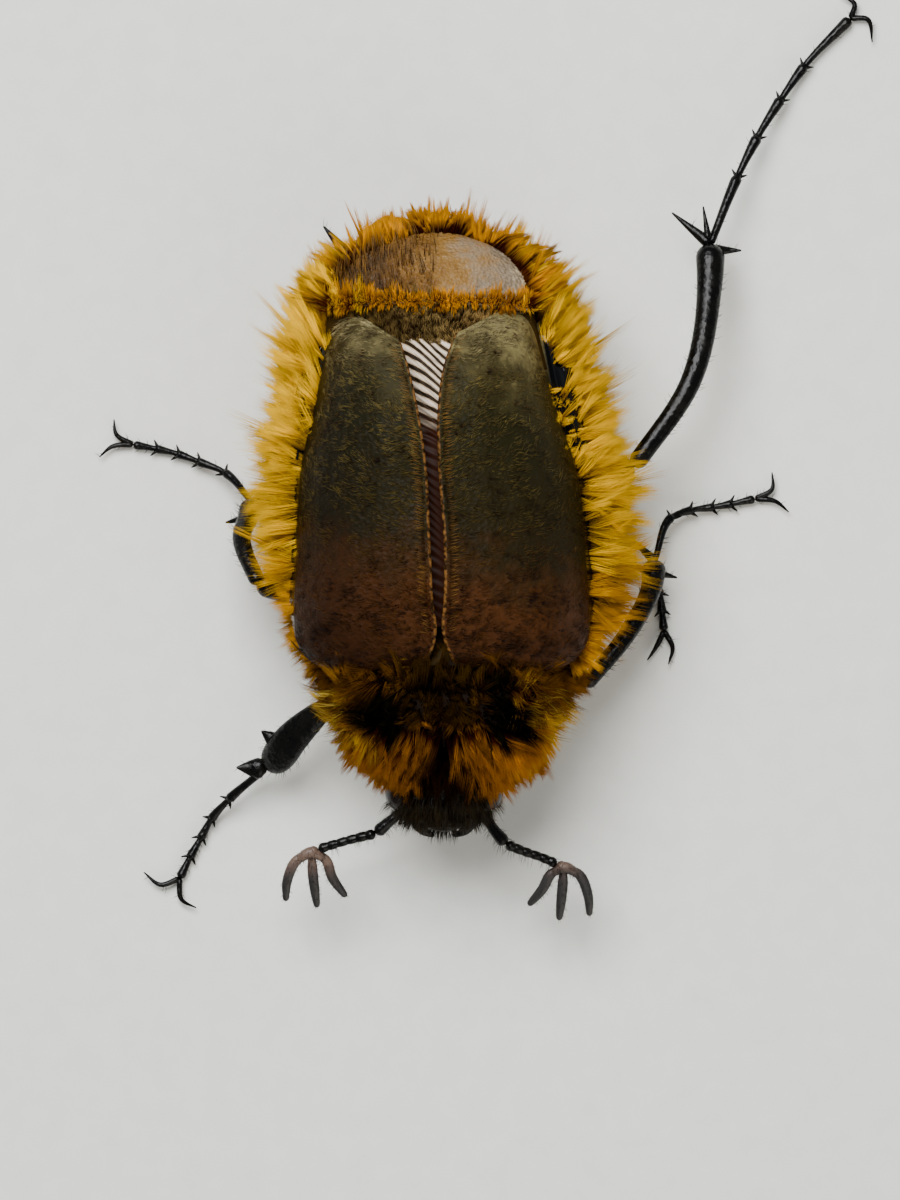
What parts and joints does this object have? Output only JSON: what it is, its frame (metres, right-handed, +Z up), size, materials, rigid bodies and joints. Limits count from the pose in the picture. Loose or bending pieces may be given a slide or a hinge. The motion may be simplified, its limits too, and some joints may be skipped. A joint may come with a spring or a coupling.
{
  "type": "bumblebee scarab beetle",
  "caption": "Life-size furry scarab beetle with dark wing cases, fanned feelers and long bristly legs, standing still on its feet.",
  "frame": {"origin": "centre of the bounding box's bottom face, on the floor that the feet stand on", "axes": "+Z up, head toward -Y, tail toward +Y, the beetle's own left side toward +X"},
  "size_m": [0.0182, 0.0218, 0.0061],
  "materials": {
    "head": "black shell with fine dark hair",
    "eye": "glossy, finely faceted",
    "antenna": "satin black",
    "antenna_club": "matt brown black",
    "coat": "dense golden and orange hair",
    "wing_case": "satin dark brown with short fine hair",
    "wing": "pale folded membrane with dark veins",
    "pygidium": "satin brown with fine hair",
    "leg": "glossy black with bristles"
  },
  "bodies": {
    "root": {"head": "head", "eye_left": "eye", "mandible_left": "head", "antenna_stem_left": "antenna", "antenna_club_left": "antenna_club", "eye_right": "eye", "mandible_right": "head", "antenna_stem_right": "antenna", "antenna_club_right": "antenna_club", "prothorax": "coat", "thorax": "coat", "abdomen": "coat", "scutellum": "wing_case", "elytron_left": "wing_case", "elytron_right": "wing_case", "wing_fold": "wing", "pygidium": "pygidium", "fore_left_femur": "leg", "fore_left_tibia": "leg", "fore_left_tarsus": "leg", "fore_right_femur": "leg", "fore_right_tibia": "leg", "fore_right_tarsus": "leg", "mid_left_femur": "leg", "mid_left_tibia": "leg", "mid_left_tarsus": "leg", "mid_right_femur": "leg", "mid_right_tibia": "leg", "mid_right_tarsus": "leg", "hind_left_femur": "leg", "hind_left_tibia": "leg", "hind_left_tarsus": "leg", "hind_right_femur": "leg", "hind_right_tibia": "leg", "hind_right_tarsus": "leg"}
  },
  "joints": []
}
